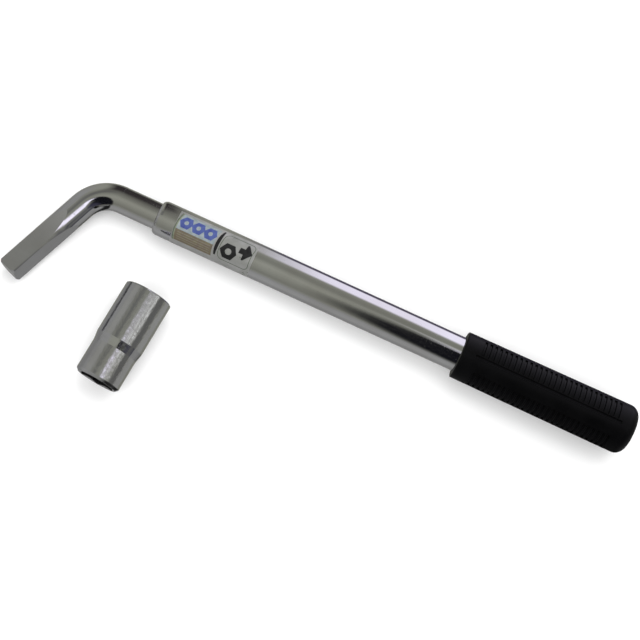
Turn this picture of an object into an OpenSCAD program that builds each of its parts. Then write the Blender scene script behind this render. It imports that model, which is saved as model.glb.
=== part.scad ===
// Telescopic wheel-nut wrench: an L-shaped drive bar slides and turns in a gripped outer tube,
// and a loose double-ended socket fits the square on the bar's short arm.
// +X runs along the tube towards the grip, the short arm lies in the XY plane towards -Y.
// The origin is on the tube's axis, at the shoulder behind its rolled-in mouth.

/* [Outer tube] */
// Outer diameter of the tube
tube_d = 22; // [21.5:0.1:24]
// Wall thickness of the tube
tube_wall = 1.5; // [1.4:0.05:1.6]
// Length of the tube behind the shoulder
tube_l = 308; // [300:1:330]
// Length of the rolled-in mouth in front of the shoulder
lip_l = 3.4; // [2.5:0.1:4.5]

/* [Drive bar] */
// Diameter of the solid bar
bar_d = 16.7; // [16:0.1:17.2]
// Angle between the short arm and the tube
arm_angle = 111.7; // [100:0.1:120]
// Centreline radius of the bend
bend_r = 21.5; // [18:0.5:24]
// Distance from the shoulder to the point where the two axes cross
corner_x = 42.2; // [40:0.1:50]
// Length of the short arm from that point to its tip
arm_l = 74; // [70:0.5:90]
// Size of the square drive across its flats
square_af = 12.7; // [12.5:0.05:12.8]
// Length of the flats before they run out into the round
square_l = 21; // [18:0.5:24]
// Diameter over the rounded corners of the square
square_d = 16.9; // [16.5:0.1:17.8]
// Turn of the flats about the short arm
square_roll = 16; // [0:0.5:45]

/* [Travel] */
// How far the bar pulls out of the tube
travel = 170; // [140:1:180]

/* [Grip] */
// Distance from the shoulder to the grip's front rim
grip_x = 198.5; // [190:0.5:202]
// Length of the grip
grip_l = 115.5; // [112:0.5:130]
// Grip diameter at its front rim
grip_front_d = 30; // [29:0.1:31]
// Grip diameter at its rear end
grip_rear_d = 31.4; // [30:0.1:33]
// Spacing of the ribs
rib_pitch = 3.3; // [3:0.1:4]

/* [Socket] */
// Outer diameter of the large end
big_d = 30.2; // [30:0.1:32]
// Outer diameter of the small end
small_d = 28.4; // [28:0.1:29.5]
// Length of the socket
socket_l = 61; // [58:0.5:70]
// Length of the large end
big_l = 34.6; // [32:0.1:38]
// Large hexagon across its flats
hex_big = 23.1; // [23.05:0.05:23.2]
// Small hexagon across its flats
hex_small = 21.1; // [21.05:0.05:21.2]
// Place of the socket's middle beside the tube, along X
socket_x = 10; // [5:0.5:40]
// Distance of the socket's middle from the tube's axis
socket_y = 77.5; // [75:0.5:100]
// Turn of the socket from square to the tube
socket_yaw = 5.2; // [0:0.1:8]

/* [Label] */
// Distance from the shoulder to the label
label_x = 9; // [6:0.5:12]
// Length of the label along the tube
label_l = 52; // [40:1:60]

/* [Hidden] */

round_fn = 96;
eps = 0.01;
gap = 0.05;                                   // radial clearance of every running fit

tube_r = tube_d / 2;
bore_r = tube_r - tube_wall;
bar_r = bar_d / 2;

// The bush sits behind the mouth and is the outward stop. The collar meets it at full travel.
bush_x = 0.6;
bush_l = 35.4;
collar_x = bush_x + bush_l + travel + 0.5;
collar_l = 22;
collar_r = bore_r - 0.1;
spigot_r = 6.5;
bar_end_x = collar_x + collar_l;
bead_x = bar_end_x + 1.75;                    // ring bead that stops the collar when closed
bead_r = 1.6;

// The friction ring runs in a groove of the collar.
ring_x = collar_x + 2.4;
ring_l = 5;
ring_side_gap = 0.2;
ring_slit = 1.2;

// Lock ball, in the collar, above the axis.
lock_x = collar_x + 12.5;
ball_r = 3;
ball_hole_r = ball_r + gap;
lock_ball_z = collar_r - ball_r;
lock_hole_z = -4.2;
detent_depth = 0.4;
pin_x = collar_x + 18.6;
pin_r = 1.5;

// Square drive and its ball, in the short arm's own frame: +X along the arm, +Z up.
turn = 180 - arm_angle;
runout_r = 200;
flat_z = square_af / 2;
drive_ball_r = 2.4;
drive_hole_r = drive_ball_r + gap;
drive_ball_back = 9.5;                        // from the arm's tip to the ball
drive_proud = 0.8;                            // how far the ball stands out of its flat
drive_ball_h = flat_z + drive_proud - drive_ball_r;
drive_hole_h = -3.4;                          // floor of the ball's hole

// The wrench lies on its short arm and the grip's front rim, so the floor slopes in this frame.
floor_dx = (bar_r - grip_front_d / 2) / (grip_x + corner_x);
floor_dy = floor_dx / tan(arm_angle);
socket_z = big_d / 2 - bar_r + floor_dx * (socket_x + corner_x) - floor_dy * socket_y;

grip_end_x = grip_x + grip_l;
grip_rim_l = 10.2;                            // plain ring in front of the ribs
rib_count = 28;
rib_depth = 0.8;
panel_angle = 46;                             // each of the four ribbed panels
panel_turn = 27;                              // from straight up to the first panel's middle, towards +Y

function grip_r(x) = (grip_front_d + (grip_rear_d - grip_front_d) * x / grip_l) / 2;
function arc(cx, cy, r, a0, a1, n) = [
  for (i = [0:n]) let (a = a0 + (a1 - a0) * i / n) [cx + r * cos(a), cy + r * sin(a)]
];

// Turns a profile drawn as [distance along X, radius] about the X axis.
module turned(sweep = 360) {
  rotate([0, 90, 0])
    rotate_extrude(angle = sweep, $fn = round_fn)
      rotate(90)
        mirror([0, 1])
          children();
}

// A rod along +X that starts at x.
module rod(x, l, r, fn = round_fn) {
  translate([x, 0, 0]) rotate([0, 90, 0]) cylinder(h = l, r = r, $fn = fn);
}

// Moves its children from the short arm's frame to the wrench's.
module on_arm() {
  translate([-corner_x, 0, 0]) rotate([0, 0, -arm_angle]) children();
}

// Moves its children from the ball flat's frame, +Z out of the flat, to the wrench's.
module on_drive_flat() {
  on_arm() rotate([square_roll + 180, 0, 0]) translate([arm_l - drive_ball_back, 0, 0]) children();
}

// The socket lies on the floor beside the tube, its small end towards -Y.
module on_socket() {
  translate([socket_x, -socket_y, socket_z])
    rotate([atan(floor_dy), -atan(floor_dx), 0])
      rotate([0, 0, -90 - socket_yaw])
        children();
}

// Compression spring along +Z from z = 0, swept by rings of points round a helix.
module coil_spring(od, wire, l, turns) {
  sides = 8;
  steps = 14 * turns;
  mean_r = (od - wire) / 2;
  rise = l - wire;
  pts = [
    for (i = [0:steps], k = [0:sides - 1])
      let (
        a = 360 * turns * i / steps,
        b = 360 * k / sides,
        r = mean_r + wire / 2 * cos(b)
      )
      [r * cos(a), r * sin(a), wire / 2 + rise * i / steps + wire / 2 * sin(b)]
  ];
  walls = [
    for (i = [0:steps - 1], k = [0:sides - 1])
      let (n = (k + 1) % sides)
      [i * sides + k, (i + 1) * sides + k, (i + 1) * sides + n, i * sides + n]
  ];
  first_cap = [for (k = [0:sides - 1]) k];
  last_cap = [for (k = [0:sides - 1]) steps * sides + sides - 1 - k];
  polyhedron(points = pts, faces = concat(walls, [first_cap, last_cap]));
}

// ---- tube body ----

module outer_tube() {
  lip_bore_r = bar_r + 0.3;
  lip_drop = tube_r - lip_bore_r - 0.5;
  lip_outside = [for (i = [0:8]) let (a = 90 * i / 8) [-lip_l * sin(a), tube_r - lip_drop * (1 - cos(a))]];
  color("silver")
    difference() {
      turned()
        polygon(concat(
          lip_outside,
          [
            [-lip_l, lip_bore_r],
            [bush_x, lip_bore_r],
            [bush_x, bore_r],
            [tube_l, bore_r],
            [tube_l, tube_r]
          ]
        ));
      for (x = [lock_x, lock_x - travel]) detent_groove(x);
      bead_outside();
    }
  color("silver") bead();
}

// Round-bottomed ring groove in the bore, shaped to the lock ball.
module detent_groove(x) {
  half_w = sqrt(pow(ball_r, 2) - pow(ball_r - detent_depth, 2));
  turned()
    polygon([
      [x - half_w, bore_r - eps],
      [x - half_w / 2, bore_r + detent_depth],
      [x + half_w / 2, bore_r + detent_depth],
      [x + half_w, bore_r - eps]
    ]);
}

// Ring bead rolled into the tube under the grip: a groove outside, a ridge inside.
module bead() {
  turned()
    polygon(concat(
      arc(bead_x, bore_r + 0.6, bead_r, 202, 338, 12),
      [[bead_x + bead_r * cos(22), bore_r + 0.6]],
      [[bead_x - bead_r * cos(22), bore_r + 0.6]]
    ));
}

module bead_outside() {
  turned()
    polygon(arc(bead_x, tube_r + 0.9, bead_r, 180, 360, 12));
}

module guide_bush() {
  color("darkgoldenrod")
    difference() {
      rod(bush_x, bush_l, bore_r);
      rod(bush_x - 1, bush_l + 2, bar_r + gap);
    }
}

module tube_plug() {
  plug_l = 10;
  flange_l = 1.5;
  color("dimgray")
    difference() {
      union() {
        rod(tube_l - plug_l, plug_l, bore_r);
        rod(tube_l, flange_l, tube_r);
      }
      rod(tube_l - plug_l - 1, plug_l - 1, bore_r - 2);
    }
}

module grip_sleeve() {
  dome_r = 6.6;
  rim_r = 0.8;
  end_r = grip_r(grip_l);
  color([0.06, 0.06, 0.07])
    difference() {
      turned()
        polygon(concat(
          [[grip_x, 0]],
          arc(grip_x + rim_r, grip_r(0) - rim_r, rim_r, 180, 90, 4),
          arc(grip_end_x - 0.6 - dome_r, end_r - dome_r, dome_r, 88, 6, 10),
          [[grip_end_x, 0]]
        ));
      rod(grip_x - 1, tube_l - grip_x + 1, tube_r);
      rod(tube_l - 1, 2.5, tube_r);
      for (quarter = [0:3])
        rotate([90 * quarter, 0, 0]) {
          rib_grooves();
          long_groove();
        }
    }
}

// Grooves between the ribs of the first panel.
module rib_grooves() {
  rotate([90 - panel_turn - panel_angle / 2, 0, 0])
    rotate([0, 90, 0])
      rotate([0, 0, 90])
        rotate_extrude(angle = panel_angle, $fn = round_fn)
          for (i = [0:rib_count - 1]) {
            x = grip_rim_l + (i + 0.5) * rib_pitch;
            floor_r = grip_r(x) - rib_depth;
            polygon([
              [floor_r + 1.4, grip_x + x - 1.15],
              [floor_r, grip_x + x - 0.5],
              [floor_r, grip_x + x + 0.5],
              [floor_r + 1.4, grip_x + x + 1.15]
            ]);
          }
}

// Groove along the grip beside the first panel.
module long_groove() {
  cut_r = 1.1;
  taper = atan((grip_rear_d - grip_front_d) / 2 / grip_l);
  rotate([1.5, 0, 0])
    translate([grip_x + grip_rim_l - 2, 0, grip_r(grip_rim_l) + 0.35])
      rotate([0, 90 - taper, 0])
        cylinder(h = rib_count * rib_pitch + 4, r = cut_r, $fn = 32);
}

// Thin sticker wrapped round the side of the tube that faces up and towards the arm.
module label() {
  label_t = 0.12;
  label_angle = 141;
  top_edge = 41;                              // from straight up, towards +Y
  color("gainsboro")
    rotate([90 - top_edge, 0, 0])
      rotate([0, 90, 0])
        rotate([0, 0, 90])
          rotate_extrude(angle = label_angle, $fn = round_fn)
            translate([tube_r, label_x])
              square([label_t, label_l]);
}

// ---- bar body ----

module drive_bar() {
  tangent_l = bend_r * tan(turn / 2);
  bend_x = -corner_x + tangent_l;
  swell = 0.04;                               // the bend is this much thicker than the straights
  lap = 1;                                    // how far each straight reaches into the bend
  color("silver")
    difference() {
      union() {
        rod(bend_x - lap, collar_x - bend_x + lap, bar_r);
        rod(collar_x - 1, collar_l + 1, spigot_r);
        translate([bend_x, -bend_r, 0])
          rotate([0, 0, 90])
            rotate_extrude(angle = turn, $fn = round_fn)
              translate([bend_r, 0])
                circle(r = bar_r + swell, $fn = round_fn);
        on_arm() square_end(tangent_l - lap);
      }
      translate([lock_x, 0, lock_hole_z]) cylinder(h = bar_d, r = ball_hole_r, $fn = 48);
      cross_hole();
      on_drive_flat() translate([0, 0, drive_hole_h]) cylinder(h = bar_d, r = drive_hole_r, $fn = 48);
    }
}

// Short arm, flared to the square's corners, with four flats that each run out over a large radius.
module square_end(start) {
  tip_bevel = 1.3;
  flare_l = 23;
  flats_x = arm_l - square_l;
  difference() {
    turned()
      polygon([
        [start, 0],
        [start, bar_r],
        [flats_x - flare_l, bar_r],
        [flats_x, square_d / 2],
        [arm_l - tip_bevel, square_d / 2],
        [arm_l, square_d / 2 - tip_bevel],
        [arm_l, 0]
      ]);
    for (quarter = [0:3])
      rotate([square_roll + 90 * quarter, 0, 0])
        translate([flats_x, 0, flat_z]) {
          translate([0, -bar_d, 0]) cube([square_l + 5, 2 * bar_d, bar_d]);
          translate([0, bar_d, runout_r]) rotate([90, 0, 0]) cylinder(h = 2 * bar_d, r = runout_r, $fn = 720);
        }
  }
}

module cross_hole() {
  translate([pin_x, 0, 0]) rotate([90, 0, 0]) cylinder(h = 2 * tube_d, r = pin_r, center = true, $fn = 48);
}

module stop_collar() {
  color("gray")
    difference() {
      rod(collar_x, collar_l, collar_r);
      rod(collar_x - 1, collar_l + 2, spigot_r);
      difference() {
        rod(ring_x - ring_side_gap, ring_l + 2 * ring_side_gap, tube_r);
        rod(ring_x - 1, ring_l + 2, bar_r);
      }
      translate([lock_x, 0, 0]) cylinder(h = tube_r, r = ball_hole_r, $fn = 48);
      cross_hole();
    }
}

// Split plastic ring that rubs on the tube's bore and carries the bar as it turns.
module friction_ring() {
  color("ivory")
    difference() {
      rod(ring_x, ring_l, bore_r - 0.03);
      rod(ring_x - 1, ring_l + 2, bar_r + gap);
      translate([ring_x - 1, -ring_slit / 2, -tube_r]) cube([ring_l + 2, ring_slit, tube_r]);
    }
}

// Slotted spring pin through the collar and the bar's spigot.
module collar_pin() {
  color("slategray")
    translate([pin_x, 0, 0])
      rotate([90, 0, 0])
        linear_extrude(height = 2 * (collar_r - 0.4), center = true)
          difference() {
            circle(r = pin_r, $fn = 48);
            circle(r = pin_r - 0.6, $fn = 48);
            translate([0, -0.3]) square([pin_r + 1, 0.6]);
          }
}

module lock_spring() {
  base_z = lock_hole_z + 0.05;
  color("lightsteelblue")
    translate([lock_x, 0, base_z])
      coil_spring(od = 5, wire = 0.8, l = lock_ball_z - 0.86 * ball_r - base_z + 0.3, turns = 5);
}

module drive_spring() {
  base_h = drive_hole_h + 0.05;
  color("lightsteelblue")
    on_drive_flat()
      translate([0, 0, base_h])
        coil_spring(od = 4, wire = 0.6, l = drive_ball_h - 0.86 * drive_ball_r - base_h + 0.25, turns = 5);
}

// ---- balls ----

module lock_ball() {
  color("lightgray") translate([lock_x, 0, lock_ball_z]) sphere(r = ball_r, $fn = 48);
}

module drive_ball() {
  color("lightgray") on_drive_flat() translate([0, 0, drive_ball_h]) sphere(r = drive_ball_r, $fn = 48);
}

// ---- socket ----

module socket() {
  cone_l = 5.4;
  big_bevel = 0.7;
  small_bevel = 1.6;
  half = socket_l / 2;
  big_depth = 24;
  small_depth = 21;
  square_hole = square_af + 0.2;
  color("silver")
    on_socket()
      difference() {
        turned()
          polygon([
            [-half, 0],
            [-half, big_d / 2 - big_bevel],
            [big_bevel - half, big_d / 2],
            [big_l - half, big_d / 2],
            [big_l + cone_l - half, small_d / 2],
            [half - small_bevel, small_d / 2],
            [half, small_d / 2 - small_bevel],
            [half, 0]
          ]);
        hex_pocket(-half, 1, hex_big, big_depth);
        hex_pocket(half, -1, hex_small, small_depth);
        cube([socket_l, square_hole, square_hole], center = true);
      }
}

// Hexagonal pocket that starts at x and goes in along dir, with a lead-in cone.
module hex_pocket(x, dir, af, depth) {
  corner_r = af / sqrt(3);
  lead_in = 0.8;
  translate([x, 0, 0])
    rotate([0, dir * 90, 0]) {
      translate([0, 0, -1]) cylinder(h = depth + 1, r = corner_r, $fn = 6);
      translate([0, 0, -eps]) cylinder(h = lead_in, r1 = corner_r - 0.2, r2 = af / 2 - 0.2, $fn = round_fn);
    }
}

outer_tube();
guide_bush();
tube_plug();
grip_sleeve();
label();
friction_ring();
drive_bar();
stop_collar();
collar_pin();
lock_spring();
drive_spring();
lock_ball();
drive_ball();
socket();
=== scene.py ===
"""Looks for the telescopic lug wrench: camera, materials, studio and the sticker's print."""
import math

import bmesh
import bpy
from mathutils import Matrix, Vector


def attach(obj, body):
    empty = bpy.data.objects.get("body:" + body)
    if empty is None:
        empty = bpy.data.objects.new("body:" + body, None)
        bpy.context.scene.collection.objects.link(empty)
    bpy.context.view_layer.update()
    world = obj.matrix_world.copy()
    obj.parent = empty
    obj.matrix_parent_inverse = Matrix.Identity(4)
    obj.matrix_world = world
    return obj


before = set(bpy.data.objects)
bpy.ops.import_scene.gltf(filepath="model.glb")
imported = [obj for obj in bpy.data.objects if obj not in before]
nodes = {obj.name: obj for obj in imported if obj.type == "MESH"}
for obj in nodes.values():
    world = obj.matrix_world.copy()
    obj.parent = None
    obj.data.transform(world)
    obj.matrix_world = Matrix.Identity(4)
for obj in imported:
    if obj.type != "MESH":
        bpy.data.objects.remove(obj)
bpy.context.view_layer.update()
scene = bpy.context.scene
scene.view_settings.view_transform = "Standard"

MM = 0.001
VIEW_TILT = math.radians(13)    # the camera looks down this far off the vertical, from the -Y side
TUBE_R = 11 * MM
FILM = 0.12 * MM                # the sticker's thickness
LABEL_R = TUBE_R + FILM


# ---- camera ----

AIM = Vector((0.11256, -0.01676, 0))
DISTANCE = 0.9116
ROLL = math.radians(24.6)
LENS = 84.375
SENSOR = 36
FAR_CLIP = 20


def add_camera():
    look = Vector((0, math.sin(VIEW_TILT), -math.cos(VIEW_TILT)))
    level_right = Vector((1, 0, 0))
    level_up = level_right.cross(look)
    right = math.cos(ROLL) * level_right + math.sin(ROLL) * level_up
    up = -math.sin(ROLL) * level_right + math.cos(ROLL) * level_up
    cam = bpy.data.objects.new("camera", bpy.data.cameras.new("camera"))
    turn = Matrix((right, up, -look)).transposed().to_4x4()
    cam.matrix_world = Matrix.Translation(AIM - DISTANCE * look) @ turn
    cam.data.lens = LENS
    cam.data.sensor_width = SENSOR
    cam.data.clip_end = FAR_CLIP
    scene.collection.objects.link(cam)
    scene.camera = cam


# ---- node helpers ----

class Nodes:
    """Short names for building a material's node tree."""

    INPUTS = {"base": "Base Color", "rough": "Roughness", "metal": "Metallic", "normal": "Normal",
              "specular": "Specular IOR Level"}

    def __init__(self, name):
        self.mat = bpy.data.materials.new(name)
        self.mat.use_nodes = True
        self.tree = self.mat.node_tree
        self.bsdf = self.tree.nodes["Principled BSDF"]
        coord = self.tree.nodes.new("ShaderNodeTexCoord")
        self.position = coord.outputs["Object"]

    def add(self, kind, inputs=(), **settings):
        node = self.tree.nodes.new("ShaderNode" + kind)
        for key, value in settings.items():
            setattr(node, key, value)
        for key, value in dict(inputs).items():
            self.put(node.inputs[key], value)
        return node

    def put(self, socket, value):
        if isinstance(value, bpy.types.NodeSocket):
            self.tree.links.new(value, socket)
        else:
            socket.default_value = value

    def scaled(self, factors):
        return self.add("Mapping", {"Vector": self.position, "Scale": factors}).outputs["Vector"]

    def noise(self, scale, detail=3, vector=None):
        inputs = {"Vector": vector or self.position, "Scale": scale, "Detail": detail}
        return self.add("TexNoise", inputs).outputs["Fac"]

    def ramp(self, fac, low, high, in_low=0.3, in_high=0.7):
        """Stretches a noise's middle range over low to high."""
        inputs = {"Value": fac, "From Min": in_low, "From Max": in_high, "To Min": low, "To Max": high}
        return self.add("MapRange", inputs).outputs["Result"]

    def spread(self, fac, middle, below, above):
        return self.ramp(fac, middle - below, middle + above)

    def mix(self, fac, a, b):
        """Goes from colour a to colour b with a noise."""
        node = self.add("Mix", data_type="RGBA")
        self.put(node.inputs["Factor"], self.ramp(fac, 0, 1))
        self.put(node.inputs["A"], a)
        self.put(node.inputs["B"], b)
        return node.outputs["Result"]

    def bump(self, height, distance, strength, normal=None):
        inputs = {"Height": height, "Distance": distance, "Strength": strength}
        if normal:
            inputs["Normal"] = normal
        return self.add("Bump", inputs).outputs["Normal"]

    def shade(self, **values):
        for key, value in values.items():
            self.put(self.bsdf.inputs[self.INPUTS[key]], value)
        return self.mat


def rgba(r, g, b):
    return (r, g, b, 1)


def grey(level, warm=0.0):
    return rgba(level + warm, level, level - warm)


def times(color, factor, lift=0.0):
    """The colour made lighter or darker by a factor, then lifted."""
    return rgba(*(c * factor + lift for c in color[:3]))


def set_material(obj, mat):
    obj.data.materials.clear()
    obj.data.materials.append(mat)


# ---- materials ----
# grain: noise scale along X, Y and Z; a small number draws the noise out into lines along that axis

ALL_WAYS = (1, 1, 1)
AROUND_X = (1, 0.1, 0.1)


def chrome(name, level, rough, grain, mottle=0.0):
    """Chrome plate with fine polishing lines, faint orange peel, small dull specks and maybe a mottle."""
    m = Nodes(name)
    lines = m.noise(900, 2, m.scaled(grain))
    specks = m.ramp(m.noise(700, 1), 0, 0.10, in_low=0.68, in_high=0.76)
    base = m.mix(m.noise(45, 4), grey(level - 0.03, 0.004), grey(level + 0.03, -0.004))
    dull = m.add("Math", {0: m.ramp(lines, *rough), 1: specks}, operation="ADD").outputs[0]
    normal = m.bump(lines, 0.002 * MM, 0.6)
    normal = m.bump(m.noise(160, 2), 0.01 * MM, 0.5, normal)
    if mottle:
        normal = m.bump(m.noise(620, 3, m.scaled((1, 0.5, 1))), mottle, 0.8, normal)
    return m.shade(base=base, rough=dull, metal=1.0, normal=normal)


def bare_metal(name, color, rough, grain=ALL_WAYS):
    """Turned or drawn metal without plating."""
    m = Nodes(name)
    lines = m.noise(1200, 2, m.scaled(grain))
    base = m.mix(m.noise(120, 3), times(color, 0.8), color)
    return m.shade(base=base, rough=m.spread(lines, rough, 0.06, 0.08), metal=1.0,
                   normal=m.bump(lines, 0.004 * MM, 0.5))


def moulded(name, color, rough):
    """Plain moulded plastic with a fine spark-eroded texture."""
    m = Nodes(name)
    cloud = m.noise(90, 3)
    base = m.mix(cloud, color, times(color, 1.25, 0.004))
    return m.shade(base=base, rough=m.spread(cloud, rough, 0.05, 0.07),
                   normal=m.bump(m.noise(2500, 2), 0.01 * MM, 0.6))


def rubber(name):
    """Deep black rubber, a little uneven in its sheen."""
    m = Nodes(name)
    cloud = m.noise(60, 4)
    base = m.mix(cloud, rgba(0.0007, 0.0007, 0.0009), rgba(0.0016, 0.0016, 0.0020))
    return m.shade(base=base, rough=m.ramp(cloud, 0.36, 0.48), specular=0.11,
                   normal=m.bump(m.noise(1800, 3), 0.02 * MM, 0.7))


def sticker(name):
    """Silvery film, a little crinkled and rubbed."""
    m = Nodes(name)
    cloud = m.noise(130, 4)
    base = m.mix(cloud, rgba(0.24, 0.245, 0.23), rgba(0.34, 0.34, 0.335))
    return m.shade(base=base, rough=m.ramp(cloud, 0.26, 0.38), metal=0.45,
                   normal=m.bump(m.noise(420, 2), 0.02 * MM, 0.5))


def ink(name, color, other, rough):
    """Printing ink, slightly patchy between two near colours."""
    m = Nodes(name)
    cloud = m.noise(500, 4)
    return m.shade(base=m.mix(cloud, color, other), rough=m.spread(cloud, rough, 0.06, 0.08),
                   normal=m.bump(cloud, 0.008 * MM, 0.4))


def dress_nodes():
    spring = bare_metal("spring_steel", rgba(0.32, 0.32, 0.34), 0.32)
    ball = bare_metal("ball_steel", rgba(0.58, 0.58, 0.60), 0.12)
    looks = {
        "outer_tube": chrome("chrome_tube", 0.55, (0.05, 0.10), grain=(0.03, 1, 1)),
        "drive_bar": chrome("chrome_bar", 0.55, (0.05, 0.10), grain=(0.06, 1, 1)),
        "socket": chrome("chrome_socket", 0.50, (0.08, 0.18), grain=(1, 0.06, 1), mottle=0.12 * MM),
        "grip_sleeve": rubber("grip_rubber"),
        "label": sticker("sticker_film"),
        "guide_bush": bare_metal("bush_brass", rgba(0.70, 0.50, 0.22), 0.3, AROUND_X),
        "tube_plug": moulded("plug_plastic", rgba(0.012, 0.012, 0.014), 0.5),
        "friction_ring": moulded("ring_plastic", rgba(0.66, 0.62, 0.52), 0.42),
        "stop_collar": bare_metal("collar_steel", rgba(0.42, 0.42, 0.43), 0.28, AROUND_X),
        "collar_pin": spring,
        "lock_spring": spring,
        "drive_spring": spring,
        "lock_ball": ball,
        "drive_ball": ball,
    }
    for name, mat in looks.items():
        set_material(nodes[name], mat)


# ---- floor, world and lights ----
# The floor touches the grip's rim and the bend, so it slopes a little against the tube's axis. The
# tube's mouth reaches 1.5 mm into it.

FLOOR_SLOPE = (-0.027628, 0.010994)           # rise per metre along X and Y
FLOOR_POINT = (-42.2 * MM, 0, -8.35 * MM)     # under the bend
FLOOR_HALF = 3.0
WORLD_LOW = 0.95
WORLD_HIGH = 1.05


def floor_z(x, y):
    px, py, pz = FLOOR_POINT
    return pz + FLOOR_SLOPE[0] * (x - px) + FLOOR_SLOPE[1] * (y - py)


def add_floor():
    mesh = bpy.data.meshes.new("floor")
    corners = [(i * FLOOR_HALF, j * FLOOR_HALF) for i, j in ((-1, -1), (1, -1), (1, 1), (-1, 1))]
    mesh.from_pydata([(x, y, floor_z(x, y)) for x, y in corners], [], [(0, 1, 2, 3)])
    obj = bpy.data.objects.new("floor", mesh)
    scene.collection.objects.link(obj)
    m = Nodes("floor_paper")
    base = m.mix(m.noise(8, 3), grey(0.92), grey(0.94))
    set_material(obj, m.shade(base=base, rough=0.9, specular=0.1,
                              normal=m.bump(m.noise(900), 0.02 * MM, 0.3)))
    obj.visible_glossy = False


def add_world():
    """Even white light from everywhere, a touch brighter from above."""
    world = bpy.data.worlds.new("studio")
    world.use_nodes = True
    scene.world = world
    tree = world.node_tree
    coord = tree.nodes.new("ShaderNodeTexCoord")
    split = tree.nodes.new("ShaderNodeSeparateXYZ")
    ramp = tree.nodes.new("ShaderNodeValToRGB")
    tree.links.new(coord.outputs["Generated"], split.inputs[0])
    tree.links.new(split.outputs["Z"], ramp.inputs["Fac"])
    low, high = ramp.color_ramp.elements
    low.position, low.color = 0.0, grey(WORLD_LOW)
    high.position, high.color = 1.0, grey(WORLD_HIGH)
    tree.links.new(ramp.outputs["Color"], tree.nodes["Background"].inputs["Color"])
    tree.nodes["Background"].inputs["Strength"].default_value = 1.0


def add_light(name, place, size, power):
    """A soft rectangular light aimed at the wrench, unseen in its reflections."""
    data = bpy.data.lights.new(name, "AREA")
    data.shape = "RECTANGLE"
    data.size, data.size_y = size
    data.energy = power
    obj = bpy.data.objects.new(name, data)
    obj.location = place
    aim = Vector((0.1, 0, 0)) - Vector(place)
    obj.rotation_euler = aim.to_track_quat("-Z", "Y").to_euler()
    obj.visible_glossy = False
    scene.collection.objects.link(obj)


def add_lights():
    add_light("key", place=(0.3, 0.9, 1.6), size=(1.8, 1.4), power=15)
    add_light("fill", place=(-0.2, -1.1, 1.5), size=(1.8, 1.2), power=9)


# ---- the room that the chrome mirrors ----
# A place in the room is x along it in metres and up, the degrees from straight up towards +Y.

ROOM_R = 3.0
ROOM_HALF = 6
NEUTRAL = (1.0, 1.0, 1.0)
OLIVE = (1.0, 1.01, 0.88)
LAVENDER = (1.37, 1.31, 1.54)
PURPLE = (0.125, 0.11, 0.165)
BEAM = (0.21, 0.212, 0.20)
FAR_WALL = (0.43, 0.43, 0.41)
DARK_CLOTHES = (0.008, 0.008, 0.012)
PALER_CLOTHES = (0.055, 0.053, 0.085)
FLOOR_SHADE = (0.02, 0.02, 0.02)
FLOOR_FAR = (0.38, 0.38, 0.38)
FURNITURE = (0.048, 0.042, 0.044)
PANE = (0.56, 0.56, 0.55)
LAMP = (1.4, 1.4, 1.4)
SKY = tuple(1.22 * c for c in LAVENDER)
ROOM_END = (0.18, 0.18, 0.175)
ROOM_END_LOW = (0.44, 0.44, 0.43)
PERSON_X, PERSON_UP = 0.534, -43         # someone standing behind the camera
PERSON_HALF_X, PERSON_HALF_UP = 0.463, 50
# brightness of the plain wall and ceiling, as (up, brightness)
WALL = ((-180, 0.30), (-147, 0.32), (-119, 0.45), (-100, 0.43), (-82, 0.355), (-68, 0.28),
        (-53, 0.33), (-40, 0.37), (-26, 0.41), (-13, 0.44), (0, 0.39), (14, 0.30),
        (27, 0.29), (42, 0.34), (56, 0.40), (90, 0.40), (118, 0.36), (180, 0.30))


def smooth(value, low, high):
    """0 below low, 1 above high, smooth between."""
    t = min(1.0, max(0.0, (value - low) / (high - low)))
    return t * t * (3 - 2 * t)


def within(value, rise=None, fall=None):
    """1 past the soft edge rise and before the soft edge fall, 0 outside them."""
    inside = smooth(value, *rise) if rise else 1.0
    return inside * (1 - smooth(value, *fall)) if fall else inside


def blend(a, b, t):
    return tuple(p + (q - p) * t for p, q in zip(a, b))


def wall_light(x, up):
    for (up0, light0), (up1, light1) in zip(WALL, WALL[1:]):
        if up0 <= up <= up1:
            level = light0 + (light1 - light0) * (up - up0) / (up1 - up0)
            break
    tone = blend(NEUTRAL, OLIVE, within(up, rise=(-95, -70)) * within(x, rise=(-3.6, -1.6)))
    return tuple(level * c for c in tone)


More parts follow.
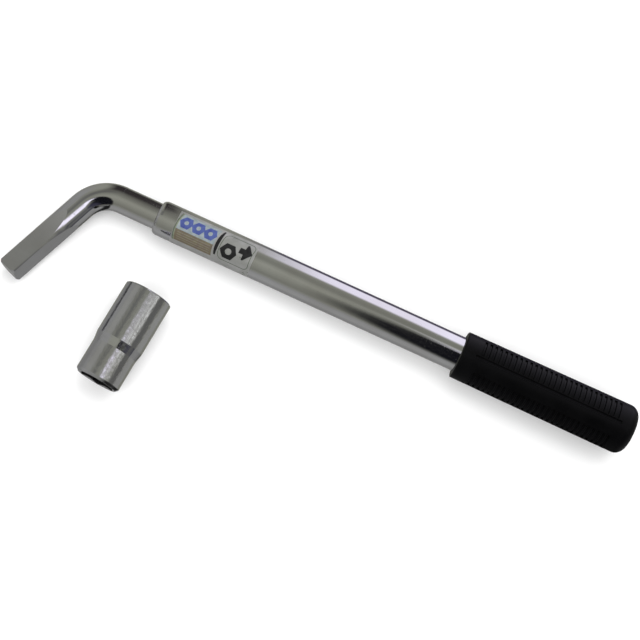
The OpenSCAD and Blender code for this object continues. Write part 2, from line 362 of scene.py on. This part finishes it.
def room_light(x, up):
    """What the chrome mirrors at one place in the room."""
    color = wall_light(x, up)

    def paint(paint_color, amount):
        nonlocal color
        color = blend(color, paint_color, amount)

    # low ceiling beam beyond the tube's mouth, and the lighter wall past it
    paint(BEAM, within(x, (-2.2, -1.3), (-0.75, -0.5)) * within(up, (0, 8), (24, 40)))
    paint(FAR_WALL, within(x, fall=(-3.2, -2.4)) * within(up, (2, 12), (35, 48)))

    # the person in dark clothes: out is 0 at their middle and 1 at their edge
    middle = PERSON_UP - 14 * smooth(x, 0.9, 1.6)
    out = math.hypot((up - middle) / PERSON_HALF_UP, min(0.0, x - PERSON_X) / PERSON_HALF_X)
    clothes = blend(DARK_CLOTHES, PALER_CLOTHES, smooth(x, 1.7, 3.0))
    paint(clothes, within(out, fall=(0.6, 1.15)) * (1 - 0.12 * smooth(x, 3.0, 5.0)))

    # floor in their shade below the grip, and the lit floor past it
    paint(FLOOR_SHADE, within(x, (0.46, 0.68), (1.4, 2.3)) * within(up, fall=(-95, -80)))
    paint(FLOOR_FAR, within(x, (3.6, 4.6)) * within(up, fall=(-95, -75)))

    # dark furniture beyond the mouth
    paint(FURNITURE, within(x, (-1.6, -0.9), (-0.345, -0.315)) * within(up, (12, 66), (105, 130)))

    # tall window on the grip's side, its upper edge sloping, and the purple wall under it
    top_edge = 53 - 27 * min(0.93, max(0.0, x - 0.274))
    paint(LAVENDER, within(x, (-0.21, 0.126), (2.0, 3.0))
          * within(up, (top_edge - 9, top_edge + 9), (104, 116)))
    paint(PURPLE, within(x, (-0.2, 0.0), (2.0, 3.0)) * within(up, (106, 116), (140, 165)))

    # skylight, with a lamp's glow in two strips of it, and open sky beside it with a sloping edge
    near = within(abs(x - 2.0), fall=(0.25, 0.6)) * within(up, fall=(4.5, 6.5))
    far = within(abs(x - 3.55), fall=(0.35, 0.8)) * within(up, rise=(4.5, 6.5))
    pane = blend(PANE, LAMP, near + far)
    paint(pane, within(x, (0.2, 0.45), (4.6, 5.8)) * within(up, (1, 4), (9, 13)))
    sky_edge = max(-2.0, 6.5 - 4.2 * x)
    paint(SKY, within(x, (0.36, 0.72), (1.7, 2.7))
          * within(up, (-9, -5), (sky_edge - 1.2, sky_edge + 1.3)))

    # far end of the room
    paint(ROOM_END, within(x, (4.6, 5.6)) * within(up, (-70, -30), (60, 140)))
    paint(ROOM_END_LOW, within(x, (2.4, 3.6)) * within(up, (145, 165)))
    return color


def add_room():
    """A closed room round the object that shows only in reflections."""
    coarse = [-ROOM_HALF + 0.2 * i for i in range(25)]      # up to x = -1.2
    fine = [-1 + 0.025 * i for i in range(80)]              # -1 to 1
    medium = [1 + 0.1 * i for i in range(51)]               # 1 to 6
    caps = [ROOM_R * k for k in (0.02, 0.3, 0.6, 0.85)]
    rings = [(-ROOM_HALF, r) for r in caps]
    rings += [(x, ROOM_R) for x in coarse + fine + medium]
    rings += [(ROOM_HALF, r) for r in reversed(caps)]
    ups = range(-180, 181, 2)
    verts = [(x, r * math.sin(math.radians(up)), r * math.cos(math.radians(up)))
             for x, r in rings for up in ups]
    n = len(ups)
    faces = [(i * n + k, i * n + k + 1, (i + 1) * n + k + 1, (i + 1) * n + k)
             for i in range(len(rings) - 1) for k in range(n - 1)]
    mesh = bpy.data.meshes.new("room")
    mesh.from_pydata(verts, [], faces)
    light = mesh.color_attributes.new("light", "FLOAT_COLOR", "POINT")
    for item, (x, up) in zip(light.data, [(x, up) for x, _ in rings for up in ups]):
        item.color = room_light(x, up) + (1,)
    obj = bpy.data.objects.new("room", mesh)
    scene.collection.objects.link(obj)

    m = Nodes("room_light")
    m.tree.nodes.remove(m.bsdf)
    glow = m.add("Emission", {"Color": m.add("Attribute", attribute_name="light").outputs["Color"]})
    out = next(node for node in m.tree.nodes if node.type == "OUTPUT_MATERIAL")
    m.tree.links.new(glow.outputs[0], out.inputs["Surface"])
    set_material(obj, m.mat)
    obj.visible_camera = False
    obj.visible_diffuse = False
    obj.visible_shadow = False
    obj.visible_transmission = False


# ---- outlines for the print ----
# An outline is a closed list of (x, arc) points in mm: x along the tube, arc round it from the
# art's centre line towards +Y.

CELL = 0.6       # longest side of a ring's quads
STRIP = 0.5      # least height of a strip
TINY = 1e-9


def rect(x0, a0, x1, a1):
    return [(x0, a0), (x1, a0), (x1, a1), (x0, a1)]


def circle(x, arc, r, n=48):
    turns = [2 * math.pi * i / n for i in range(n)]
    return [(x + r * math.cos(t), arc + r * math.sin(t)) for t in turns]


def hexagon(x, arc, r, n=48):
    """A hexagon with n points along its edge."""
    points = []
    for i in range(n):
        t = 2 * math.pi * i / n
        side = r * math.cos(math.pi / 6) / math.cos(t % (math.pi / 3) - math.pi / 6)
        points.append((x + side * math.cos(t), arc + side * math.sin(t)))
    return points


def rounded(x0, a0, x1, a1, r, n=8):
    """A rectangle with round corners, each of n steps."""
    points = []
    corners = ((x1 - r, a1 - r, 0), (x0 + r, a1 - r, 90),
               (x0 + r, a0 + r, 180), (x1 - r, a0 + r, 270))
    for x, arc, start in corners:
        for i in range(n + 1):
            t = math.radians(start + 90 * i / n)
            points.append((x + r * math.cos(t), arc + r * math.sin(t)))
    return points


def between(p, q, t):
    return p[0] + (q[0] - p[0]) * t, p[1] + (q[1] - p[1]) * t


def ring(outer, hole):
    """Small quads between two outlines with the same number of points."""
    n = len(outer)
    across = math.ceil(max(math.dist(p, q) for p, q in zip(outer, hole)) / CELL)
    quads = []
    for i in range(n):
        j = (i + 1) % n
        along = max(1, math.ceil(math.dist(outer[i], outer[j]) / CELL))
        for u in range(along):
            o0, o1 = (between(outer[i], outer[j], t / along) for t in (u, u + 1))
            h0, h1 = (between(hole[i], hole[j], t / along) for t in (u, u + 1))
            for v in range(across):
                t0, t1 = v / across, (v + 1) / across
                quads.append((between(o0, h0, t0), between(o1, h1, t0),
                              between(o1, h1, t1), between(o0, h0, t1)))
    return quads


def strips(outline):
    """Cuts a convex outline into quads along its arc direction, so it can follow the tube."""
    top = max(a for _, a in outline)
    bottom = min(a for _, a in outline)
    steps = max(2, int((top - bottom) / STRIP))
    levels = [bottom + (top - bottom) * i / steps for i in range(steps + 1)]
    rows = [(arc, *span(outline, arc)) for arc in levels]
    return [((l0, a0), (r0, a0), (r1, a1), (l1, a1))
            for (a0, l0, r0), (a1, l1, r1) in zip(rows, rows[1:])]


def span(outline, arc):
    """The outline's left and right x at one arc."""
    xs = []
    for (x0, a0), (x1, a1) in zip(outline, outline[1:] + outline[:1]):
        if min(a0, a1) - TINY <= arc <= max(a0, a1) + TINY:
            if abs(a1 - a0) < TINY:
                xs += [x0, x1]
            else:
                xs.append(x0 + (x1 - x0) * (arc - a0) / (a1 - a0))
    return min(xs), max(xs)


def curved_bar(x, arcs, half):
    """Outlines of a bar across the tube at x, half as wide each side as half says at each arc."""
    return [[(x - h0, a0), (x + h0, a0), (x + h1, a1), (x - h1, a1)]
            for a0, a1, h0, h1 in zip(arcs, arcs[1:], half, half[1:])]


# ---- sticker art ----

BOW = 0.016                # lines round the tube bow by this times the arc squared, in mm
BOW_ARC = -1.5             # where the bow starts
SUNK = 0.01 * MM           # how far a print's rim reaches into the film
MERGE = 0.0001 * MM        # corners this near each other are one
# heights of the prints above the film; one that lies on another stands higher
UNDERPRINT = 0.03 * MM
PRINT = 0.04 * MM
OVERPRINT = 0.05 * MM
TOP_PRINT = 0.06 * MM

ART_TOP = 8.7
ART_BOTTOM = -9.6
FILM_BOTTOM = -9.9
LEFT_PANEL = (10.4, 35.0)
BAND_TOP = -1.9
NUT_XS = (14.8, 22.7, 30.6)
NUT_ARC = 3.4
NUT_R, NUT_HOLE = 4.3, 1.35
RULE_XS = (12.0, 33.6)
RULE_ARCS = (-8.1, -6.6, -5.1, -3.6)
RULE_LINE = 0.35
DIVIDER_X = 37.1
DIVIDER_ARCS = [-7.4 + 1.1 * i for i in range(16)]
DIVIDER_MIDDLE, DIVIDER_REACH = 0.8, 8.6
DIVIDER_THIN, DIVIDER_SWELL = 0.45, 0.62        # half its width at the ends, and what the middle adds
RIGHT_PANEL = (38.9, -8.9, 59.2, 8.5)
PANEL_CORNER = 3.4
PANEL_LINE = 0.4
MARK = (45.0, -2.0)
MARK_R, MARK_HOLE = 5.4, 2.0
ARROW_SHAFT = (50.8, 0.0, 54.2, 3.6)
ARROW_HEAD = [(53.8, -3.4), (54.7, -3.4), (59.2, 1.8), (54.7, 7.0), (53.8, 7.0)]
EDGE_XS = (9.1, 9.75, 10.4)


def wrap(x, arc, r):
    """A point of the print, wrapped round the tube at radius r."""
    turn = arc / (LABEL_R / MM) - VIEW_TILT
    x += BOW * (arc - BOW_ARC) ** 2
    return Vector((x * MM, r * math.sin(turn), r * math.cos(turn)))


def printed(name, outlines, mat, height=PRINT):
    """Thin printed shapes on the sticker, each an outline, or a pair of an outline and its hole."""
    bm = bmesh.new()
    for outline in outlines:
        quads = ring(*outline) if isinstance(outline, tuple) else strips(outline)
        for quad in quads:
            bm.faces.new([bm.verts.new(wrap(x, arc, LABEL_R + height)) for x, arc in quad])
    bmesh.ops.remove_doubles(bm, verts=bm.verts, dist=MERGE)
    rim = [edge for edge in bm.edges if edge.is_boundary]
    for item in bmesh.ops.extrude_edge_only(bm, edges=rim)["geom"]:
        if isinstance(item, bmesh.types.BMVert):
            item.co.yz *= (LABEL_R - SUNK) / item.co.yz.length
    bmesh.ops.recalc_face_normals(bm, faces=bm.faces)
    mesh = bpy.data.meshes.new(name)
    bm.to_mesh(mesh)
    bm.free()
    obj = bpy.data.objects.new(name, mesh)
    scene.collection.objects.link(obj)
    set_material(obj, mat)
    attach(obj, "tube")


def add_sticker_art():
    blue = ink("ink_blue", rgba(0.030, 0.045, 0.19), rgba(0.055, 0.085, 0.26), 0.38)
    field = ink("ink_field", rgba(0.17, 0.21, 0.22), rgba(0.25, 0.28, 0.30), 0.34)
    tan = ink("ink_tan", rgba(0.095, 0.072, 0.058), rgba(0.13, 0.115, 0.065), 0.42)
    rule = ink("ink_rule", rgba(0.15, 0.13, 0.105), rgba(0.19, 0.175, 0.13), 0.42)
    black = ink("ink_black", rgba(0.003, 0.003, 0.004), rgba(0.009, 0.009, 0.010), 0.35)
    line = ink("ink_line", rgba(0.055, 0.07, 0.05), rgba(0.09, 0.105, 0.08), 0.4)
    tint = ink("ink_tint", rgba(0.13, 0.155, 0.10), rgba(0.19, 0.21, 0.15), 0.4)

    # left panel: three nuts over a ruled band
    left, right = LEFT_PANEL
    nuts = [(hexagon(x, NUT_ARC, NUT_R), circle(x, NUT_ARC, NUT_HOLE)) for x in NUT_XS]
    rules = [rect(RULE_XS[0], arc, RULE_XS[1], arc + RULE_LINE) for arc in RULE_ARCS]
    printed("sticker_field", [rect(left, BAND_TOP, right, ART_TOP)], field, UNDERPRINT)
    printed("sticker_nuts", nuts, blue, OVERPRINT)
    printed("sticker_band", [rect(left, ART_BOTTOM, right, BAND_TOP)], tan)
    printed("sticker_rules", rules, rule, TOP_PRINT)

    # thick divider, widest near its middle
    half = [DIVIDER_THIN + DIVIDER_SWELL * max(0.0, 1 - ((arc - DIVIDER_MIDDLE) / DIVIDER_REACH) ** 2)
            for arc in DIVIDER_ARCS]
    printed("sticker_divider", curved_bar(DIVIDER_X, DIVIDER_ARCS, half), black)

    # right panel: rounded frame, nut and arrow
    x0, a0, x1, a1 = RIGHT_PANEL
    panel = (rounded(x0, a0, x1, a1, PANEL_CORNER),
             rounded(x0 + PANEL_LINE, a0 + PANEL_LINE, x1 - PANEL_LINE, a1 - PANEL_LINE,
                     PANEL_CORNER - PANEL_LINE))
    printed("sticker_frame", [panel], line)
    printed("sticker_nut_mark", [(hexagon(*MARK, MARK_R), circle(*MARK, MARK_HOLE))], black)
    printed("sticker_arrow", [rect(*ARROW_SHAFT), ARROW_HEAD], black, OVERPRINT)

    # edge of the film
    outer, middle, inner = EDGE_XS
    printed("sticker_edge", [rect(outer, FILM_BOTTOM, middle, ART_TOP)], line)
    printed("sticker_tint", [rect(middle, FILM_BOTTOM, inner, ART_TOP)], tint)


add_camera()
dress_nodes()
add_floor()
add_world()
add_room()
add_lights()
add_sticker_art()
